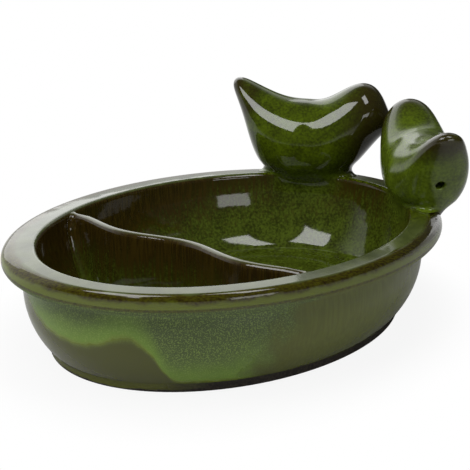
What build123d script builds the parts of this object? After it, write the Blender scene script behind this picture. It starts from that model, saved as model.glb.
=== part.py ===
from build123d import *
import os
from math import cos, radians, sin

# Dish sizes in mm, with +Z up, the foot on z = 0 and +X along the dish towards the birds
rim_length = 310.0
rim_width = 242.0
rim_height = 66.6
rim_flange = 21.7
rim_edge = 10.0
rim_fall = 1.0
rim_inner_round = 3.4
rim_under_round = 5.0
rim_overhang = 12.8
dish_wall = 7.0
dish_wall_bulge = 5.2
dish_floor = 7.0
dish_corner_round = 18.0
base_inset = 25.0
floor_core = 40.0
floor_lap = 6.0

# Handles of the curve that runs from the rim down the inside wall and out onto the floor
wall_lean = 0.5
wall_turn_share = 0.62
corner_share = 0.55
corner_lead = 1.5
corner_rise = 8.0
corner_cut = 4.0
floor_lead = 6.0

# Foot ring sizes
foot_height = 6.0
foot_width = 11.0
foot_step = 1.5
foot_edge_round = 1.2

# Divider sizes
divider_middle = -50.5
divider_swing = 17.0
divider_thickness = 7.0
divider_below_rim = 1.2
divider_wave = 4.2
divider_waves = 2.25
divider_phase = 0.97
divider_top_share = 0.42
divider_bury = 6.0
divider_steps = 16
luting_coil = 3.0

# Bird sizes
rear_bird_length = 121.0
rear_bird_height = 76.0
rear_bird_width = 58.0
side_bird_length = 112.0
side_bird_height = 67.5
side_bird_width = 54.0
bird_wall = 5.0
bird_sink = 7.0
vent_diameter = 6.0
vent_height = 21.0
vent_rise = 0.12
vent_depth_share = 0.35
beak_gap = 1.0
meeting_bearing = -1.1
side_bird_outset = 3.2
side_bird_turn = 4.0
side_bird_tilt = 2.0
side_bird_lean = 3.6
saddle_clay = 3.0
saddle_length = 66.0
saddle_width = 34.0
saddle_drop = 5.0
saddle_rise = 10.0

# Bird outline: share of length from tail to beak, then low, high and width as shares
bird_stations = [
    (0.012, 0.850, 0.985, 0.25),
    (0.045, 0.720, 0.995, 0.41),
    (0.090, 0.510, 0.975, 0.56),
    (0.150, 0.240, 0.932, 0.73),
    (0.230, 0.075, 0.875, 0.86),
    (0.340, 0.012, 0.820, 0.98),
    (0.470, 0.000, 0.805, 1.00),
    (0.590, 0.018, 0.838, 0.95),
    (0.690, 0.085, 0.926, 0.86),
    (0.780, 0.220, 0.980, 0.76),
    (0.860, 0.380, 0.950, 0.61),
    (0.925, 0.500, 0.815, 0.38),
    (0.970, 0.555, 0.665, 0.16),
]
tail_tip = (0.0, 0.925)
beak_tip = (1.0, 0.595)
seat_share = 0.475

half_length = rim_length / 2
half_width = rim_width / 2
rim_path = Edge.make_ellipse(half_length, half_width)
floor_inset = base_inset + floor_core - floor_lap
floor_oval = Plane.XY.offset(foot_height) * Ellipse(half_length - floor_inset, half_width - floor_inset)
divider_top = rim_height - divider_below_rim


# Section of the dish, drawn at the end of its long axis and carried round the oval rim
def dish_section():
    edge = rim_edge / 2
    edge_z = rim_height - rim_fall - edge
    inner_x = half_length - rim_flange
    neck_x = half_length - rim_overhang
    base_x = half_length - base_inset
    floor_z = foot_height + dish_floor
    under_z = edge_z - edge
    core_x = base_x - floor_core
    with BuildSketch(Plane.XZ) as drawn:
        with BuildLine():
            Line((core_x, foot_height), (base_x, foot_height))
            wall_top = (neck_x, under_z - rim_under_round)
            SagittaArc((base_x, foot_height), wall_top, -dish_wall_bulge)
            under_in = (neck_x + rim_under_round, under_z)
            RadiusArc(wall_top, under_in, rim_under_round)
            Line(under_in, (half_length - edge, under_z))
            ThreePointArc(
                (half_length - edge, under_z),
                (half_length, edge_z),
                (half_length - edge, edge_z + edge),
            )
            inner_in = (inner_x + rim_inner_round, rim_height)
            Line((half_length - edge, edge_z + edge), inner_in)
            inner_down = (inner_x, rim_height - rim_inner_round)
            RadiusArc(inner_in, inner_down, -rim_inner_round)
            corner = dish_corner_round * corner_share
            floor_x = base_x - dish_wall - corner
            lower_x = base_x - dish_wall + corner_lead
            lower_z = floor_z + corner
            Bezier(
                inner_down,
                (inner_x - wall_lean, rim_height * wall_turn_share),
                (lower_x, lower_z + corner_rise),
                (lower_x - corner_cut, lower_z - corner_cut),
                (floor_x + floor_lead, floor_z),
                (floor_x, floor_z),
            )
            Line((floor_x, floor_z), (core_x, floor_z))
            Line((core_x, floor_z), (core_x, foot_height))
        make_face()
    return drawn.sketch.faces()[0]


# Oval dish: the swept wall and rim with the floor closed inside it
def make_dish(section):
    return sweep(section, path=rim_path) + extrude(floor_oval, dish_floor)


# Foot ring: an oval band under the dish with its lower edges softened
def make_foot():
    outer_inset = base_inset + foot_step
    inner_inset = outer_inset + foot_width
    outer = Ellipse(half_length - outer_inset, half_width - outer_inset)
    inner = Ellipse(half_length - inner_inset, half_width - inner_inset)
    band = extrude(outer - inner, foot_height)
    low = band.edges().group_by(Axis.Z)[0]
    return fillet(low, foot_edge_round)


# Wavy line of the divider seen from above, running across the dish past both walls
def divider_line(side):
    points = []
    reach = half_width - rim_flange + divider_bury
    for i in range(divider_steps + 1):
        share = -1 + 2 * i / divider_steps
        swing = divider_swing * share
        wave = divider_wave * cos(radians(180 * divider_waves * (share + divider_phase)))
        points.append((divider_middle - swing + wave + side, reach * share))
    return Spline(*points)


# Upright wavy slab of a given thickness and top height
def wavy_slab(thickness, top):
    left = divider_line(-thickness / 2)
    right = divider_line(thickness / 2)
    outline = [left, right, Line(left @ 0, right @ 0), Line(left @ 1, right @ 1)]
    face = make_face(outline)
    return extrude(Plane.XY.offset(foot_height) * face, top - foot_height)


# The piece of a cut that lies inside the dish
def largest(shape):
    return shape.solids().sort_by(SortBy.VOLUME)[-1]


# Divider: the slab with a rounded top, cut to the inside of the dish
def make_divider(dish):
    slab = wavy_slab(divider_thickness, divider_top)
    upper = slab.edges().filter_by(GeomType.BSPLINE).group_by(Axis.Z)[-1]
    slab = fillet(upper, divider_thickness * divider_top_share)
    return largest(slab - dish)


# Coils of clay pressed into the corner on each side of the divider
def make_coils(dish, jacket):
    top = divider_top - divider_thickness
    wide = wavy_slab(divider_thickness + 2 * luting_coil, top)
    thin = wavy_slab(divider_thickness, top)
    run = (wide & jacket) - dish - thin
    inside = run.solids().sort_by(SortBy.VOLUME)[-2:]
    return sorted(inside, key=lambda s: s.center().X)


# Where a bird stands on the flange at an angle round the oval: x runs along it to the beak, y across, z up
def perch(angle, side, outset, turn, tilt, lean):
    a = half_length - rim_flange / 2
    b = half_width - rim_flange / 2
    along = Vector(-a * sin(angle), b * cos(angle), 0).normalized()
    outward = Vector(along.Y, -along.X, 0)
    point = Vector(a * cos(angle), b * sin(angle), rim_height) + outward * outset
    heading = along * (-side * cos(radians(turn))) + outward * sin(radians(turn))
    return Plane(origin=point, x_dir=heading, z_dir=(0, 0, 1)).rotated((lean, -tilt, 0))


# Perch that brings the beak up to the meeting line over the rim's end, side 1 for the rear bird and -1 for the other
def bird_plane(length, height, side, outset=0.0, turn=0.0, tilt=0.0, lean=0.0):
    beak = Vector((beak_tip[0] - seat_share) * length, 0, beak_tip[1] * height - bird_sink)
    bearing = radians(meeting_bearing)
    low = 0.02
    high = 1.4
    for i in range(50):
        middle = (low + high) / 2
        at = perch(bearing + side * middle, side, outset, turn, tilt, lean)
        tip = at.from_local_coords(beak)
        past = side * (tip.Y * cos(bearing) - tip.X * sin(bearing))
        if past > beak_gap / 2:
            high = middle
        else:
            low = middle
    return at


# Bird body lofted from its outline, tail and beak drawn to points
def bird_body(length, height, width):
    sections = [Vertex((tail_tip[0] - seat_share) * length, 0, tail_tip[1] * height - bird_sink)]
    for share, low, high, wide in bird_stations:
        middle = (low + high) / 2 * height - bird_sink
        at = Plane(origin=((share - seat_share) * length, 0, middle), x_dir=(0, 1, 0), z_dir=(1, 0, 0))
        sections.append(at * Ellipse(wide * width / 2, (high - low) * height / 2))
    sections.append(Vertex((beak_tip[0] - seat_share) * length, 0, beak_tip[1] * height - bird_sink))
    return loft(sections)


# Hollow inside the bird, kept one wall clear of its skin and of the rim below it
def bird_hollow(length, height, width):
    lowest = saddle_clay + bird_wall
    inner = bird_stations[4:11]
    sections = []
    for share, low, high, wide in inner:
        under = max(low * height - bird_sink + bird_wall, lowest)
        over = high * height - bird_sink - bird_wall
        reach = wide * width / 2 - bird_wall
        middle = (under + over) / 2
        at = Plane(origin=((share - seat_share) * length, 0, middle), x_dir=(0, 1, 0), z_dir=(1, 0, 0))
        sections.append(at * Ellipse(reach, (over - under) / 2))
    return loft(sections)


# One bird: shell, vent under the tail, and the underside cut to its clay saddle
def make_bird(length, height, width, at, jacket):
    body = bird_body(length, height, width) - bird_hollow(length, height, width)
    bore = Plane(origin=(-length * seat_share, 0, vent_height), x_dir=(0, 1, 0), z_dir=(1, 0, vent_rise))
    body = body - extrude(bore * Circle(vent_diameter / 2), length * vent_depth_share)
    return at * body - jacket


# Clay saddle wrapped over the flange under one bird
def make_saddle(at, jacket, dish):
    low = at.origin - Vector(0, 0, saddle_drop)
    pad = Plane(origin=low, x_dir=at.x_dir, z_dir=(0, 0, 1)) * Ellipse(saddle_length / 2, saddle_width / 2)
    return largest((extrude(pad, saddle_drop + saddle_rise) & jacket) - dish)


section = dish_section()
dish = make_dish(section)
clay_jacket = sweep(offset(section, amount=saddle_clay, kind=Kind.ARC).faces()[0], path=rim_path)
coil_jacket = sweep(offset(section, amount=luting_coil, kind=Kind.ARC).faces()[0], path=rim_path)
coil_jacket = coil_jacket + extrude(floor_oval, dish_floor + luting_coil)
divider = make_divider(dish)
coils = make_coils(dish, coil_jacket)
rear_at = bird_plane(rear_bird_length, rear_bird_height, 1)
side_at = bird_plane(
    side_bird_length,
    side_bird_height,
    -1,
    side_bird_outset,
    side_bird_turn,
    side_bird_tilt,
    side_bird_lean,
)

parts = {
    "dish": dish,
    "foot_ring": make_foot(),
    "divider": divider,
    "seed_side_coil": coils[0],
    "bath_side_coil": coils[1],
    "rear_bird": make_bird(rear_bird_length, rear_bird_height, rear_bird_width, rear_at, clay_jacket),
    "rear_bird_saddle": make_saddle(rear_at, clay_jacket, dish),
    "side_bird": make_bird(side_bird_length, side_bird_height, side_bird_width, side_at, clay_jacket),
    "side_bird_saddle": make_saddle(side_at, clay_jacket, dish),
}

# Move everything so that the origin is at the middle of the base of the box around the object
corners = [corner for shape in parts.values() for corner in shape.tessellate(0.05)[0]]
middle_x = (min(c.X for c in corners) + max(c.X for c in corners)) / 2
middle_y = (min(c.Y for c in corners) + max(c.Y for c in corners)) / 2

# Write one STEP file for each piece
os.makedirs("parts", exist_ok=True)
for name, shape in parts.items():
    shape = Pos(-middle_x, -middle_y, 0) * shape
    shape.label = name
    export_step(shape, f"parts/{name}.step")
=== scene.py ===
import math

import bpy
from mathutils import Matrix, Vector
from mathutils.bvhtree import BVHTree


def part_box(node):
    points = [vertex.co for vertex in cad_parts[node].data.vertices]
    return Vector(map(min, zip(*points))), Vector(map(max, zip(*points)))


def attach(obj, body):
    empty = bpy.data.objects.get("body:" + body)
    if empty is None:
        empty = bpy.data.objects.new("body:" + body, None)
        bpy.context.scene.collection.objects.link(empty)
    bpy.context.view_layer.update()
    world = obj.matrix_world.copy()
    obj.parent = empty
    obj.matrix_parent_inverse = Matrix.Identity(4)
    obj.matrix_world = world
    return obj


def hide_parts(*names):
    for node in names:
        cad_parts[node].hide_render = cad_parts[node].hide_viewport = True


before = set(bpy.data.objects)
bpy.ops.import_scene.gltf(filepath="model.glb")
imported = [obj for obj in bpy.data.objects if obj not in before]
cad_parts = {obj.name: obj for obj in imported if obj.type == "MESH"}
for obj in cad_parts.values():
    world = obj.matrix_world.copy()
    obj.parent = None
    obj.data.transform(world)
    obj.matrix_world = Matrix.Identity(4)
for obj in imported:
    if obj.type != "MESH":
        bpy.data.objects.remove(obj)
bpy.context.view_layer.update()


# The oval dish: hand-shaped stoneware with a flat rolled rim, dipped in one reactive green glaze.
# The glaze breaks brown where it runs thin, on the rim and down the inside wall, and is green where it pools.
# On one end of the outer wall a second, frosted coat ends in a line of drips.
def paint(*levels):
    shares = [level / 255 for level in levels]
    return [((s + 0.055) / 1.055) ** 2.4 if s > 0.04 else s / 12.92 for s in shares] + [1.0]


def plug_in(tree, made, sockets):
    for name, value in sockets.items():
        if isinstance(value, bpy.types.NodeSocket):
            tree.links.new(value, made.inputs[name])
        else:
            made.inputs[name].default_value = value


def node(tree, kind, sockets=None, **settings):
    made = tree.nodes.new("ShaderNode" + kind)
    for name, value in settings.items():
        setattr(made, name, value)
    plug_in(tree, made, sockets or {})
    return made


def reckon(tree, operation, *values):
    return node(tree, "Math", dict(enumerate(values)), operation=operation).outputs[0]


def times(tree, value, factor):
    return reckon(tree, "MULTIPLY", value, factor)


def less(tree, value, taken):
    return reckon(tree, "SUBTRACT", value, taken)


def scaled(tree, value, factor, base):
    return reckon(tree, "MULTIPLY_ADD", value, factor, base)


# A pattern lies about its middle, so it moves the value both ways.
def stirred(tree, pattern, amount, value):
    return scaled(tree, less(tree, pattern, 0.5), amount, value)


def rise(tree, value, low, high):
    sockets = {"Value": value, "From Min": low, "From Max": high}
    return node(tree, "MapRange", sockets, interpolation_type="SMOOTHSTEP").outputs[0]


def between(tree, share, low, high):
    return node(tree, "MapRange", {"Value": share, "To Min": low, "To Max": high}).outputs[0]


def blend_colour(tree, share, under, over):
    return node(tree, "Mix", {0: share, 6: under, 7: over}, data_type="RGBA").outputs[2]


def noise(tree, place, scale, detail, stretch=None):
    if stretch:
        place = node(tree, "Mapping", {"Vector": place, "Scale": stretch}).outputs[0]
    sockets = {"Vector": place, "Scale": scale, "Detail": detail}
    return node(tree, "TexNoise", sockets).outputs["Fac"]


def new_group(name, inputs, outputs):
    tree = bpy.data.node_groups.new(name, "ShaderNodeTree")
    for way, sockets in (("INPUT", inputs), ("OUTPUT", outputs)):
        for label, kind in sockets.items():
            tree.interface.new_socket(label, in_out=way, socket_type="NodeSocket" + kind)
    given = tree.nodes.new("NodeGroupInput").outputs
    put = tree.nodes.new("NodeGroupOutput").inputs
    return tree, given, put


def use_group(tree, group, sockets):
    made = tree.nodes.new("ShaderNodeGroup")
    made.node_tree = group
    plug_in(tree, made, sockets)
    return made.outputs


# How the molten glaze ran: hair streaks down the walls, cloudy mottling, fine grain and specks, a soft ripple.
streak_stretch = (700, 700, 48)
patterns = {"Streak": "Float", "Mottle": "Float", "Grain": "Float", "Speck": "Float", "Ripple": "Float"}
glaze_run, given, put = new_group("glaze_run", {"Place": "Vector"}, patterns)
tree = glaze_run
tree.links.new(noise(tree, given["Place"], 1.0, 4.0, streak_stretch), put["Streak"])
tree.links.new(noise(tree, given["Place"], 75.0, 5.0), put["Mottle"])
tree.links.new(noise(tree, given["Place"], 560.0, 6.0), put["Grain"])
tree.links.new(noise(tree, given["Place"], 1400.0, 2.0), put["Speck"])
slow_wave = noise(tree, given["Place"], 38.0, 1.0)
quick_wave = noise(tree, given["Place"], 210.0, 2.0)
tree.links.new(scaled(tree, quick_wave, 0.06, slow_wave), put["Ripple"])

# Where a point lies on the dish: how far in from the rim's outline, how high, and its bearing.
dish_low, dish_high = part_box("dish")
dish_middle = (dish_low[0] + dish_high[0]) / 2
rim_reach = (0.155, 0.121)
least_slope = 0.001


def length_of(tree, across, over):
    squares = reckon(tree, "ADD", times(tree, across, across), times(tree, over, over))
    return reckon(tree, "SQRT", squares)


dish_place, given, put = new_group(
    "dish_place", {"Place": "Vector"}, {"Inset": "Float", "Height": "Float", "Bearing": "Float"}
)
tree = dish_place
axes = node(tree, "SeparateXYZ", {0: given["Place"]}).outputs
u = reckon(tree, "DIVIDE", less(tree, axes[0], dish_middle), rim_reach[0])
v = reckon(tree, "DIVIDE", axes[1], rim_reach[1])
reach = length_of(tree, u, v)
slope = length_of(
    tree, reckon(tree, "DIVIDE", u, rim_reach[0]), reckon(tree, "DIVIDE", v, rim_reach[1])
)
short = times(tree, less(tree, 1.0, reach), reach)
inset = reckon(tree, "DIVIDE", short, reckon(tree, "MAXIMUM", slope, least_slope))
tree.links.new(inset, put["Inset"])
tree.links.new(axes[2], put["Height"])
bearing = reckon(tree, "ARCTAN2", times(tree, v, -1.0), times(tree, u, -1.0))
tree.links.new(bearing, put["Bearing"])

# The glaze inside the bowl, shared with the divider: brown under the rim, green on the floor and by the birds.
bird_seats = [(dish_middle + 0.12834, 0.05015, 0.0666), (dish_middle + 0.13286, -0.04905, 0.0666)]
bird_half = (-0.04, 0.10)
green_level = (0.030, 0.020)
brown_fade = (-0.020, 0.024)
seat_pool = (0.020, 0.036)
cloud_range = (0.34, 0.68)
thin_brown = paint(42, 31, 8)
streak_brown = paint(58, 46, 12)
dark_green = paint(46, 52, 8)
moss_green = paint(84, 100, 27)
bowl_glaze, given, put = new_group(
    "bowl_glaze",
    {"Place": "Vector", "Streak": "Float", "Mottle": "Float", "Grain": "Float", "Height": "Float"},
    {"Color": "Color"},
)
tree = bowl_glaze
axes = node(tree, "SeparateXYZ", {0: given["Place"]}).outputs
level = scaled(tree, rise(tree, axes[0], *bird_half), *green_level)
broken = stirred(tree, given["Streak"], 0.065, given["Height"])
broken = stirred(tree, given["Mottle"], 0.02, broken)
thin = rise(tree, less(tree, broken, level), *brown_fade)
for seat in bird_seats:
    near_seat = node(tree, "VectorMath", {0: given["Place"], 1: seat}, operation="DISTANCE")
    near_seat = stirred(tree, given["Mottle"], 0.02, near_seat.outputs["Value"])
    thin = times(tree, thin, rise(tree, near_seat, *seat_pool))
cloud = scaled(tree, given["Mottle"], 0.35, times(tree, given["Grain"], 0.65))
green = blend_colour(tree, rise(tree, cloud, *cloud_range), dark_green, moss_green)
brown = blend_colour(tree, rise(tree, given["Streak"], 0.38, 0.64), thin_brown, streak_brown)
tree.links.new(blend_colour(tree, thin, green, brown), put["Color"])


def new_finish(name):
    finish = bpy.data.materials.new(name)
    finish.use_nodes = True
    tree = finish.node_tree
    shader = tree.nodes["Principled BSDF"]
    place = tree.nodes.new("ShaderNodeTexCoord").outputs["Object"]
    return finish, tree, shader, place


def glaze_at(tree, place):
    return use_group(tree, glaze_run, {"Place": place}), use_group(tree, dish_place, {"Place": place})


def in_bowl(tree, place, run, height):
    sockets = {"Place": place, "Height": height}
    sockets.update({name: run[name] for name in ("Streak", "Mottle", "Grain")})
    return use_group(tree, bowl_glaze, sockets)["Color"]


# The bearing as a share of a whole turn, half a turn at the seed end.
def share_of_turn(tree, spot):
    return scaled(tree, spot["Bearing"], 0.5 / math.pi, 0.5)


def uneven(tree, shader, height, strength, distance):
    bump = node(tree, "Bump", {"Strength": strength, "Distance": distance, "Height": height})
    tree.links.new(bump.outputs[0], shader.inputs["Normal"])


dish_finish, tree, shader, place = new_finish("dish_glaze")
run, spot = glaze_at(tree, place)
bowl_skin = in_bowl(tree, place, run, spot["Height"])

# Outer wall: smooth olive, with the frosted coat above its drip line and a bright fringe along that line.
wall_olive = paint(80, 83, 26)
wall_sage = paint(104, 112, 40)
frost_grey = paint(76, 92, 44)
frost_speck = paint(136, 160, 72)
fringe_green = paint(120, 156, 46)
line_olive = paint(118, 120, 28)
# Bearing in degrees and height in millimetres of the drip line.
drips = [
    (0, 0.0), (110, 0.0), (125, 22), (140, 38), (152, 30), (160, 41), (168, 39), (175, 32), (186, 27.2),
    (191.5, 26), (196, 27.3), (204, 33.5), (207, 34.7), (209.5, 32), (213.5, 22.5), (216, 11), (220, 4),
    (360, 4),
]
tallest_drip = 60
turn = share_of_turn(tree, spot)
drip_curve = tree.nodes.new("ShaderNodeFloatCurve")
tree.links.new(turn, drip_curve.inputs["Value"])
line = drip_curve.mapping.curves[0]
line.points[0].location = (0, drips[0][1] / tallest_drip)
line.points[1].location = (1, drips[-1][1] / tallest_drip)
for bearing, height in drips[1:-1]:
    line.points.new(bearing / 360, height / tallest_drip)
drip_curve.mapping.update()
drip_height = times(tree, drip_curve.outputs[0], tallest_drip / 1000)
stir = less(tree, run["Mottle"], 0.5)
above = less(tree, scaled(tree, stir, 0.006, spot["Height"]), drip_height)
coat_end = scaled(tree, spot["Height"], 0.70, 0.664)
past_end = less(tree, scaled(tree, stir, 0.05, turn), coat_end)
coated = times(tree, rise(tree, past_end, 0.012, -0.024), rise(tree, turn, 0.40, 0.50))
frosted = times(tree, rise(tree, above, 0.0, 0.0055), coated)
ending = times(tree, rise(tree, past_end, -0.060, -0.010), rise(tree, spot["Height"], 0.040, 0.006))
fringe = times(tree, reckon(tree, "MAXIMUM", rise(tree, above, 0.027, 0.004), ending), frosted)
border = times(tree, rise(tree, above, 0.0070, 0.0025), frosted)
specks = times(tree, rise(tree, run["Speck"], 0.49, 0.64), 0.75)
streaked = scaled(tree, rise(tree, run["Streak"], 0.34, 0.68), 0.35, 0.45)
streaked = times(tree, streaked, rise(tree, turn, 0.60, 0.74))
wall = blend_colour(tree, streaked, wall_olive, wall_sage)
frost = blend_colour(tree, times(tree, fringe, 0.8), frost_grey, fringe_green)
frost = blend_colour(tree, specks, frost, frost_speck)
frost = blend_colour(tree, times(tree, border, 0.8), frost, line_olive)
wall = blend_colour(tree, frosted, wall, frost)

# Rim: olive on its outer roll, brown along its edge, grey-green on the flat, and mottled green by the birds,
# with painted shade as a dark brown line in the crease under the roll.
rim_olive = paint(98, 108, 28)
edge_brown = paint(44, 32, 8)
edge_olive = paint(80, 78, 10)
run_green = paint(84, 98, 10)
rim_shade = paint(62, 70, 36)
rim_flat = paint(78, 86, 46)
crease_shade_starts = (0.0585, 0.0600)
crease_shade_ends = (0.0618, 0.0606)
roll_band = (0.0604, 0.0616)
edge_band = (0.0630, 0.0650)
flat_inset = (0.0075, 0.0110)
flat_height = (0.0600, 0.0630)
lip_band = (0.0650, 0.0664)
rim_brown = blend_colour(tree, rise(tree, run["Grain"], 0.26, 0.74), edge_brown, edge_olive)
rim_top = blend_colour(tree, rise(tree, run["Mottle"], 0.34, 0.66), rim_shade, rim_flat)
rim_green = blend_colour(tree, rise(tree, run["Grain"], 0.38, 0.62), dark_green, run_green)
bird_end = reckon(tree, "MAXIMUM", rise(tree, turn, 0.83, 0.89), rise(tree, turn, 0.17, 0.11))
rim_top = blend_colour(tree, bird_end, rim_top, rim_green)
# Painted shade: a dark brown line in the crease under the rim's roll, where shade falls.
crease_shade = times(tree, rise(tree, spot["Height"], *crease_shade_starts), rise(tree, spot["Height"], *crease_shade_ends))
skin = blend_colour(tree, times(tree, crease_shade, 0.85), wall, rim_brown)
skin = blend_colour(tree, rise(tree, spot["Height"], *roll_band), skin, rim_olive)
broken_edge = scaled(tree, stir, 0.005, spot["Height"])
skin = blend_colour(tree, rise(tree, broken_edge, *edge_band), skin, rim_brown)
flat = rise(tree, scaled(tree, stir, 0.008, spot["Inset"]), *flat_inset)
flat = times(tree, flat, rise(tree, spot["Height"], *flat_height))
skin = blend_colour(tree, flat, skin, rim_top)

# Inside: everything further in than the middle of the wall's thickness.
wall_middle = scaled(tree, rise(tree, spot["Height"], 0.026, 0.006), 0.010, 0.0168)
wall_middle = scaled(tree, rise(tree, spot["Height"], 0.050, 0.056), 0.0036, wall_middle)
inside = rise(tree, less(tree, spot["Inset"], wall_middle), -0.0004, 0.0008)
inside = times(tree, inside, rise(tree, spot["Height"], 0.0095, 0.0115))
inner_skin = blend_colour(tree, rise(tree, spot["Height"], *lip_band), bowl_skin, rim_top)
skin = blend_colour(tree, inside, skin, inner_skin)
tree.links.new(skin, shader.inputs["Base Color"])
gloss_roughness = 0.07
frost_roughness = 0.30
matt = times(tree, frosted, rise(tree, spot["Height"], 0.0620, 0.0600))
tree.links.new(between(tree, matt, gloss_roughness, frost_roughness), shader.inputs["Roughness"])

# A bump shades the rim's outer half as if it were rounded over, more and more steeply towards its edge.
crown_inset = 0.0112
crown_curve = 0.005
crown_slope = 1.25
ripple_height = 0.0004
over = reckon(tree, "MAXIMUM", less(tree, crown_inset, spot["Inset"]), 0.0)
curved = reckon(tree, "MINIMUM", over, crown_curve)
crown = times(tree, times(tree, curved, curved), -crown_slope / (2 * crown_curve))
crown = scaled(tree, less(tree, over, curved), -crown_slope, crown)
crown_ends = times(tree, rise(tree, turn, 0.40, 0.55), rise(tree, turn, 0.97, 0.90))
crown = times(tree, crown, crown_ends)
uneven(tree, shader, scaled(tree, run["Ripple"], ripple_height, crown), 1.0, 1.0)

# The bowl: its wall runs out onto the floor in one long curve, with no corner to scrub.
floor_height = 0.0130
curve_inset = 0.0458
curve_start = 0.0262
curve_rise = 68.8
curve_steps = 24
curve_sink = 0.00005
behind_curve = [(curve_inset, 0.0110), (0.0280, 0.0110), (0.0225, 0.0360)]
ring_steps = 240
soft_edge = math.radians(42)


def pick(*pieces):
    bpy.ops.object.select_all(action="DESELECT")
    for piece in pieces:
        piece.select_set(True)
    bpy.context.view_layer.objects.active = pieces[0]


def clay_copy(*names):
    made = []
    for name in names:
        piece = bpy.data.objects.new("clay_" + name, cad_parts[name].data.copy())
        bpy.context.scene.collection.objects.link(piece)
        made.insert(0, piece)
    pick(*made)
    bpy.ops.object.join()
    bpy.ops.mesh.customdata_custom_splitnormals_clear()
    bpy.ops.object.mode_set(mode="EDIT")
    bpy.ops.mesh.select_all(action="SELECT")
    bpy.ops.mesh.remove_doubles(threshold=1e-6)
    bpy.ops.object.mode_set(mode="OBJECT")
    return made[0]


def finish_with(piece, kind, **settings):
    bpy.context.view_layer.objects.active = piece
    modifier = piece.modifiers.new(kind.lower(), kind)
    for name, value in settings.items():
        setattr(modifier, name, value)
    bpy.ops.object.modifier_apply(modifier=modifier.name)


def curve_height(inset):
    return floor_height + curve_rise * (curve_inset - inset) ** 2


insets = [
    curve_start + (curve_inset - curve_start) * step / curve_steps for step in range(curve_steps + 1)
]
ring_section = [(inset, curve_height(inset) - curve_sink) for inset in insets] + behind_curve
bpy.ops.object.select_all(action="DESELECT")
bpy.ops.mesh.primitive_torus_add(major_segments=ring_steps, minor_segments=len(ring_section))
bowl_curve = bpy.context.active_object
for index, point in enumerate(bowl_curve.data.vertices):
    angle = 2 * math.pi * (index // len(ring_section)) / ring_steps
    inset, height = ring_section[index % len(ring_section)]
    outline = Vector((rim_reach[0] * math.cos(angle), rim_reach[1] * math.sin(angle), 0))
    inward = -Vector((math.cos(angle) / rim_reach[0], math.sin(angle) / rim_reach[1], 0)).normalized()
    point.co = outline + inward * inset + Vector((dish_middle, 0, height))
bpy.ops.object.mode_set(mode="EDIT")
bpy.ops.mesh.select_all(action="SELECT")
bpy.ops.mesh.normals_make_consistent(inside=False)
bpy.ops.object.mode_set(mode="OBJECT")
dish_shell = clay_copy("dish")
dish_shell.name = "dish_glazed"
finish_with(dish_shell, "BOOLEAN", operation="UNION", object=bowl_curve, solver="MANIFOLD")
bpy.data.objects.remove(bowl_curve)
pick(dish_shell)
bpy.ops.object.shade_smooth_by_angle(angle=soft_edge)
finish_with(dish_shell, "WEIGHTED_NORMAL", keep_sharp=True, weight=80)
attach(dish_shell, "root")
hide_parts("dish")
dish_shell.data.materials.clear()
dish_shell.data.materials.append(dish_finish)


# The foot ring: a low band of the same stoneware under the dish, wiped free of glaze so that it doesn't stick
# in the kiln. At the seed end the glaze has run down over it and stops just short of the ground.
bare_clay = paint(62, 54, 44)
burnt_clay = paint(36, 31, 27)
foot_olive = paint(98, 102, 36)
clay_roughness = 0.75
run_roughness = 0.10
foot_finish, tree, shader, place = new_finish("foot_clay")
run, spot = glaze_at(tree, place)
grit = noise(tree, place, 700.0, 3.0)
clay = blend_colour(tree, rise(tree, grit, 0.35, 0.7), burnt_clay, bare_clay)
turn = share_of_turn(tree, spot)
seed_end = rise(tree, scaled(tree, run["Mottle"], 0.05, turn), 0.655, 0.60)
seed_end = times(tree, seed_end, rise(tree, turn, 0.36, 0.40))
edge_line = scaled(tree, run["Mottle"], 0.004, spot["Height"])
glazed = times(tree, seed_end, rise(tree, edge_line, 0.0032, 0.0042))
tree.links.new(blend_colour(tree, glazed, clay, foot_olive), shader.inputs["Base Color"])
tree.links.new(between(tree, glazed, clay_roughness, run_roughness), shader.inputs["Roughness"])
uneven(tree, shader, grit, 0.4, 0.0006)
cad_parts["foot_ring"].data.materials[0] = foot_finish


# The divider: a wavy slab of the same clay set across the bowl, luted to it with a coil of soft clay on either
# side. It was glazed together with the bowl, so that each joint is drawn out into a smooth hollow curve.
joint_reach = 0.0065
joint_margin = 0.020
joint_voxel = 0.0010
settle_passes = 4
joint_passes = 45
melt_passes = 140
melt_start = 1.6
dish_clearance = 0.00015


def soften(piece, label, weight_of, passes):
    weights = {}
    for point in piece.data.vertices:
        weight = round(min(weight_of(point.co), 1.0), 2)
        if weight > 0:
            weights.setdefault(weight, []).append(point.index)
    group = piece.vertex_groups.new(name=label)
    for weight, points in weights.items():
        group.add(points, weight, "REPLACE")
    finish_with(piece, "SMOOTH", factor=0.5, iterations=passes, vertex_group=label)


def how_far(piece):
    tree = BVHTree.FromObject(piece, bpy.context.evaluated_depsgraph_get())
    out_of_reach = joint_reach * 2

    def distance(place):
        found = tree.find_nearest(place, out_of_reach)[3]
        return out_of_reach if found is None else found

    return distance


def dish_copy():
    piece = bpy.data.objects.new("clay_dish", dish_shell.data.copy())
    bpy.context.scene.collection.objects.link(piece)
    return piece


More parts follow.
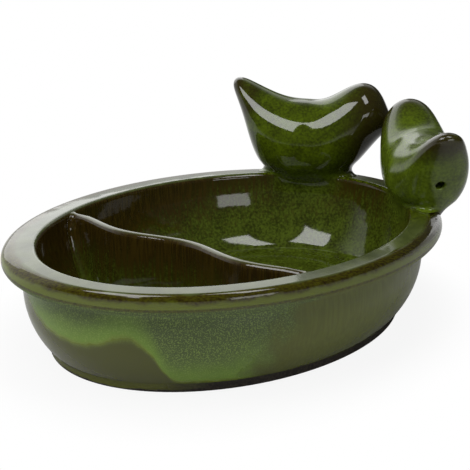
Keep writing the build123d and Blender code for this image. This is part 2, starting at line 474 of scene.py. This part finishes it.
# Clay pieces pressed onto the dish: melted together with it, smoothed along the joint, then cut free again.
def luted_on(name, clay, pad=None):
    bare_dish = dish_copy()
    added_clay = clay_copy(*clay)
    corners = [Vector(corner) for corner in added_clay.bound_box]
    low = Vector(min(c[i] for c in corners) - joint_margin for i in range(3))
    high = Vector(max(c[i] for c in corners) + joint_margin for i in range(3))
    bpy.ops.object.select_all(action="DESELECT")
    bpy.ops.mesh.primitive_cube_add(size=1.0, location=(low + high) / 2, scale=high - low)
    bpy.ops.object.transform_apply(location=True, rotation=True, scale=True)
    block = bpy.context.active_object
    whole = dish_copy()
    finish_with(whole, "BOOLEAN", operation="INTERSECT", object=block, solver="MANIFOLD")
    pick(whole, clay_copy(*clay))
    bpy.ops.object.join()
    finish_with(whole, "REMESH", mode="VOXEL", voxel_size=joint_voxel, adaptivity=0.0)
    finish_with(whole, "SMOOTH", factor=0.5, iterations=settle_passes)
    to_dish = how_far(bare_dish)
    to_clay = how_far(added_clay)
    soften(
        whole, "joint", lambda place: 2 - max(to_dish(place), to_clay(place)) / joint_reach, joint_passes
    )
    scraps = [bare_dish, added_clay, block]
    if pad:
        pad_clay = clay_copy(pad)
        to_pad = how_far(pad_clay)
        soften(whole, "melted", lambda place: melt_start - to_pad(place) / joint_reach, melt_passes)
        scraps.append(pad_clay)
    finish_with(bare_dish, "DISPLACE", strength=dish_clearance, mid_level=0.0)
    finish_with(whole, "BOOLEAN", operation="DIFFERENCE", object=bare_dish, solver="MANIFOLD")
    pick(whole)
    bpy.ops.mesh.separate(type="LOOSE")
    loose = sorted(bpy.context.selected_objects, key=lambda o: -len(o.data.vertices))
    for scrap in loose[1:] + scraps:
        bpy.data.objects.remove(scrap)
    piece = loose[0]
    piece.name = name
    pick(piece)
    bpy.ops.object.shade_smooth_by_angle(angle=soft_edge)
    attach(piece, "root")
    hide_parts(*clay)
    piece.data.materials.clear()
    return piece


divider_wall = luted_on("divider_wall", ["divider", "seed_side_coil", "bath_side_coil"])
# It is glazed like the bowl a little lower down, and paler on its rounded top.
divider_drop = 0.012
divider_top = (0.0640, 0.0662)
divider_finish, tree, shader, place = new_finish("divider_glaze")
run, spot = glaze_at(tree, place)
bowl_skin = in_bowl(tree, place, run, less(tree, spot["Height"], divider_drop))
top = rise(tree, spot["Height"], *divider_top)
tree.links.new(blend_colour(tree, top, bowl_skin, rim_flat), shader.inputs["Base Color"])
shader.inputs["Roughness"].default_value = gloss_roughness
uneven(tree, shader, run["Ripple"], 0.35, 0.0012)
divider_wall.data.materials.append(divider_finish)


# The two birds: hollow slip-cast stoneware with a kiln vent under the tail, each luted to the rim on a saddle
# of soft clay. Their glaze is green on the body, bright where it pooled at the joint, and brown where it
# drained off the tail and the head.
rear_bird = luted_on("rear_bird_glazed", ["rear_bird", "rear_bird_saddle"], "rear_bird_saddle")
side_bird = luted_on("side_bird_glazed", ["side_bird", "side_bird_saddle"], "side_bird_saddle")
belly_green = paint(80, 97, 12)
shade_green = paint(46, 54, 8)
pool_green = paint(98, 118, 26)
pool_shade = paint(64, 77, 12)
bird_brown = paint(42, 32, 12)
head_share = (0.14, 0.36)
tail_share = (-0.28, -0.44)
tail_height = (0.098, 0.114)
pool_bottom = 0.0690
bowl_height = (0.0668, 0.0640)
bird_glaze, given, put = new_group(
    "bird_glaze",
    {
        "Along": "Float", "Height": "Float", "Thick": "Float", "Mottle": "Float", "Grain": "Float",
        "Bowl": "Color",
    },
    {"Color": "Color"},
)
tree = bird_glaze
cloud = scaled(tree, given["Mottle"], 0.5, times(tree, given["Grain"], 0.5))
cloudy = rise(tree, cloud, *cloud_range)
body = blend_colour(tree, cloudy, shade_green, belly_green)
pool = blend_colour(tree, cloudy, pool_shade, pool_green)
pooled = rise(tree, scaled(tree, given["Mottle"], 0.004, given["Height"]), given["Thick"], pool_bottom)
body = blend_colour(tree, pooled, body, pool)
drift = stirred(tree, given["Mottle"], 0.25, given["Along"])
tail = times(tree, rise(tree, drift, *tail_share), rise(tree, given["Height"], *tail_height))
drained = reckon(tree, "MAXIMUM", rise(tree, drift, *head_share), tail)
body = blend_colour(tree, times(tree, drained, 0.85), body, bird_brown)
body = blend_colour(tree, rise(tree, given["Height"], *bowl_height), body, given["Bowl"])
tree.links.new(body, put["Color"])
# Piece, finish, seat on the rim, the way it faces, length, height of the thick glaze, roughness.
perches = [
    (rear_bird, "rear_bird_glaze", bird_seats[0], (0.5562, -0.8311, 0.0), 0.121, 0.0745, 0.06),
    (side_bird, "side_bird_glaze", bird_seats[1], (0.5865, 0.8068, 0.0713), 0.112, 0.1500, 0.17),
]
for piece, name, seat, heading, length, thick, roughness in perches:
    finish, tree, shader, place = new_finish(name)
    run, spot = glaze_at(tree, place)
    from_seat = node(tree, "VectorMath", {0: place, 1: seat}, operation="SUBTRACT").outputs[0]
    step = tuple(part / length for part in heading)
    along = node(tree, "VectorMath", {0: from_seat, 1: step}, operation="DOT_PRODUCT").outputs["Value"]
    sockets = {"Along": along, "Height": spot["Height"], "Thick": thick}
    sockets.update({"Mottle": run["Mottle"], "Grain": run["Grain"]})
    sockets["Bowl"] = in_bowl(tree, place, run, spot["Height"])
    bird = use_group(tree, bird_glaze, sockets)
    tree.links.new(bird["Color"], shader.inputs["Base Color"])
    shader.inputs["Roughness"].default_value = roughness
    uneven(tree, shader, run["Ripple"], 0.3, 0.0012)
    piece.data.materials.append(finish)


# The pale studio floor that the dish stands on: matt, white to the camera where it runs out to the horizon, and
# a little darker under the dish, where it keeps the shadow. The glaze mirrors only its far side.
camera_turn = math.radians(-43.69)
forward = Vector((-math.sin(camera_turn), math.cos(camera_turn), 0))
right = Vector((math.cos(camera_turn), math.sin(camera_turn), 0))
backdrop_turn = math.radians(30)
backdrop = forward * math.cos(backdrop_turn) - right * math.sin(backdrop_turn)
floor_radius = 6.0
floor_grey = (0.62, 0.62, 0.62, 1)
white = (1, 1, 1, 1)
white_near = 0.90
bpy.ops.object.select_all(action="DESELECT")
bpy.ops.mesh.primitive_circle_add(vertices=96, radius=floor_radius, fill_type="NGON", location=(0, 0, 0))
floor = bpy.context.active_object
floor.name = "studio_floor"
floor_finish, tree, shader, place = new_finish("pale_floor")
inset = use_group(tree, dish_place, {"Place": place})["Inset"]
shader.inputs["Base Color"].default_value = floor_grey
shader.inputs["Roughness"].default_value = 0.9
shader.inputs["Specular IOR Level"].default_value = 0.0
away = rise(tree, inset, 0.012, -0.040)
beyond = node(tree, "VectorMath", {0: place, 1: backdrop}, operation="DOT_PRODUCT").outputs["Value"]
far = times(tree, rise(tree, inset, -0.040, -0.150), rise(tree, beyond, -0.05, 0.25))
path = tree.nodes.new("ShaderNodeLightPath").outputs
looked_at = times(tree, between(tree, away, white_near, 1.0), path["Is Camera Ray"])
bounced = reckon(tree, "MAXIMUM", path["Is Glossy Ray"], path["Is Transmission Ray"])
share = reckon(tree, "MAXIMUM", looked_at, times(tree, far, bounced))
glow = node(tree, "Emission", {"Color": white, "Strength": 1.0}).outputs[0]
mixed = node(tree, "MixShader", {0: share, 1: shader.outputs[0], 2: glow}).outputs[0]
tree.links.new(mixed, tree.nodes["Material Output"].inputs["Surface"])
floor.data.materials.append(floor_finish)


# Soft studio light: a dim room that is bright behind on the left, two soft boxes and a low card on the camera's
# side, and a broad soft box behind on the left.
room_dim = 0.05
room_bright = 0.85
world = bpy.data.worlds.new("studio_room")
world.use_nodes = True
bpy.context.scene.world = world
tree = world.node_tree
way = tree.nodes.new("ShaderNodeTexCoord").outputs["Generated"]
behind = node(tree, "VectorMath", {0: way, 1: backdrop}, operation="DOT_PRODUCT").outputs["Value"]
steep = node(tree, "SeparateXYZ", {0: way}).outputs[2]
aside = node(tree, "VectorMath", {0: way, 1: right}, operation="DOT_PRODUCT").outputs["Value"]
bright = times(tree, rise(tree, behind, 0.05, 0.60), rise(tree, steep, 0.92, 0.62))
open_side = reckon(tree, "MAXIMUM", rise(tree, aside, 0.17, 0.02), rise(tree, steep, 0.36, 0.50))
bright = times(tree, bright, open_side)
room = between(tree, bright, room_dim, room_bright)
tree.links.new(room, tree.nodes["Background"].inputs["Strength"])
tree.nodes["Background"].inputs["Color"].default_value = white
aim = Vector((dish_middle, 0, 0.061))


def soft_box(name, bearing, climb, distance, width, height, radiance):
    lamp = bpy.data.lights.new(name, "AREA")
    lamp.shape = "RECTANGLE"
    lamp.size = width
    lamp.size_y = height
    lamp.energy = radiance * math.pi * width * height
    holder = bpy.data.objects.new(name, lamp)
    bpy.context.scene.collection.objects.link(holder)
    a = math.radians(bearing)
    e = math.radians(climb)
    way = (forward * math.cos(a) + right * math.sin(a)) * math.cos(e) + Vector((0, 0, math.sin(e)))
    holder.location = aim + way * distance
    holder.rotation_euler = way.to_track_quat("Z", "Y").to_euler()


soft_box("left_box", bearing=-138, climb=53, distance=0.75, width=0.42, height=0.42, radiance=6.6)
soft_box("right_box", bearing=137, climb=60, distance=0.75, width=0.17, height=0.42, radiance=6.8)
soft_box("low_card", bearing=147, climb=6, distance=1.2, width=0.42, height=0.36, radiance=3.2)
soft_box("back_box", bearing=-23, climb=29, distance=1.5, width=1.5, height=1.0, radiance=1.35)


# The camera stands a little above the rim, off the seed end, with a long lens.
# Its shift only sets the dish in the frame as the photograph has it.
camera_rise = math.radians(18.0)
camera_distance = 0.7
camera = bpy.data.cameras.new("camera")
camera.sensor_width = 36.0
camera.lens = 83.12
camera.shift_x = 0.00734
camera.shift_y = -0.01319
camera.clip_start = 0.01
eye = bpy.data.objects.new("camera", camera)
bpy.context.scene.collection.objects.link(eye)
back = -forward * math.cos(camera_rise) + Vector((0, 0, math.sin(camera_rise)))
up = back.cross(right)
turned = Matrix((right, up, back)).transposed().to_4x4()
eye.matrix_world = Matrix.Translation(aim + back * camera_distance) @ turned
bpy.context.scene.camera = eye

bpy.context.scene.view_settings.view_transform = "Standard"
